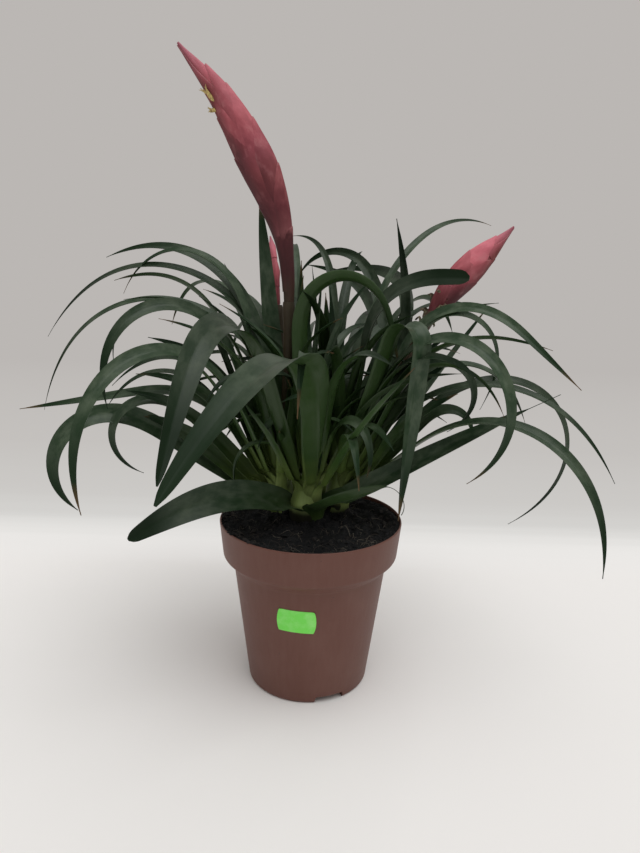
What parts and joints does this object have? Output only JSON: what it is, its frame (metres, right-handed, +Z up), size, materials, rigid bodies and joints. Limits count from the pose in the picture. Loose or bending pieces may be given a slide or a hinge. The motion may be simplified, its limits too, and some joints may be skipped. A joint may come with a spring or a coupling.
{
  "type": "potted vriesea bromeliad",
  "caption": "Potted bromeliad clump of arching grey-green channelled leaves with flat pink-red flower spikes, standing in a tapered brown plastic nursery pot of dark soil",
  "frame": {"origin": "Centre of the pot's underside, on the pot's axis, at the height of its foot.", "axes": "+Z up along the pot's axis, -Y towards the viewer of the picture, +X to the viewer's right. The longest leaves reach out along +X and -X."},
  "size_m": [0.4174, 0.4242, 0.4423],
  "materials": {
    "pot": "matte",
    "label": "matte",
    "soil": "matte",
    "leaf": "satin",
    "flower": "matte",
    "bloom": "satin"
  },
  "bodies": {
    "root": {"pot": "pot", "price_label": "label", "soil": "soil", "rosette_front": "leaf", "rosette_right": "leaf", "rosette_back_right": "leaf", "rosette_back_left": "leaf", "rosette_left": "leaf", "flower_1": "flower", "flower_2": "flower", "bloom_tall": "bloom", "bloom_right": "bloom", "bloom_back": "bloom"}
  },
  "joints": []
}
